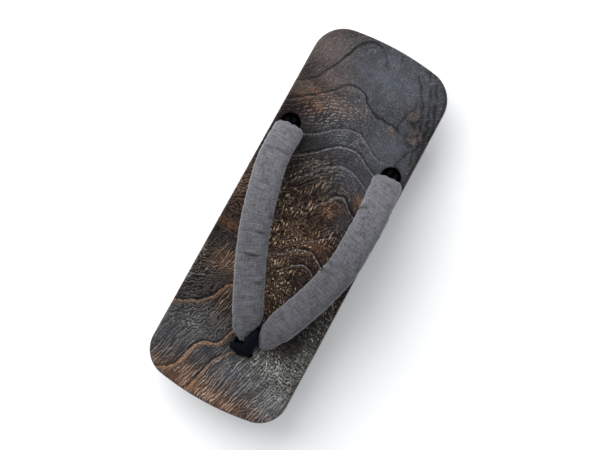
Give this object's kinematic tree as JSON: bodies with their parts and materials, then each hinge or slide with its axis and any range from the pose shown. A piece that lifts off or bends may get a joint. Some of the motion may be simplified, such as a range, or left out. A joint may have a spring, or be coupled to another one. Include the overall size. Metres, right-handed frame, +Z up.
{
  "type": "geta sandal",
  "caption": "Wooden sandal on two teeth, with a dished burnt-wood deck and a padded cotton thong held by a toe loop.",
  "frame": {"origin": "centre of the sandal's footprint on the floor", "axes": "+Y towards the heel end, +Z up, +X towards the inner side of a right foot"},
  "size_m": [0.0996, 0.264, 0.0803],
  "materials": {
    "burnt_wood": "burnt, brushed and waxed, satin",
    "grey_cotton": "plain ribbed weave, padded",
    "black_velvet": "short pile",
    "black_cord": "twisted cord"
  },
  "bodies": {
    "root": {"wooden_base": "burnt_wood", "straps": "grey_cotton", "toe_loop": "black_velvet", "toe_knot": "black_cord", "outer_knot": "black_cord", "inner_knot": "black_cord"}
  },
  "joints": []
}
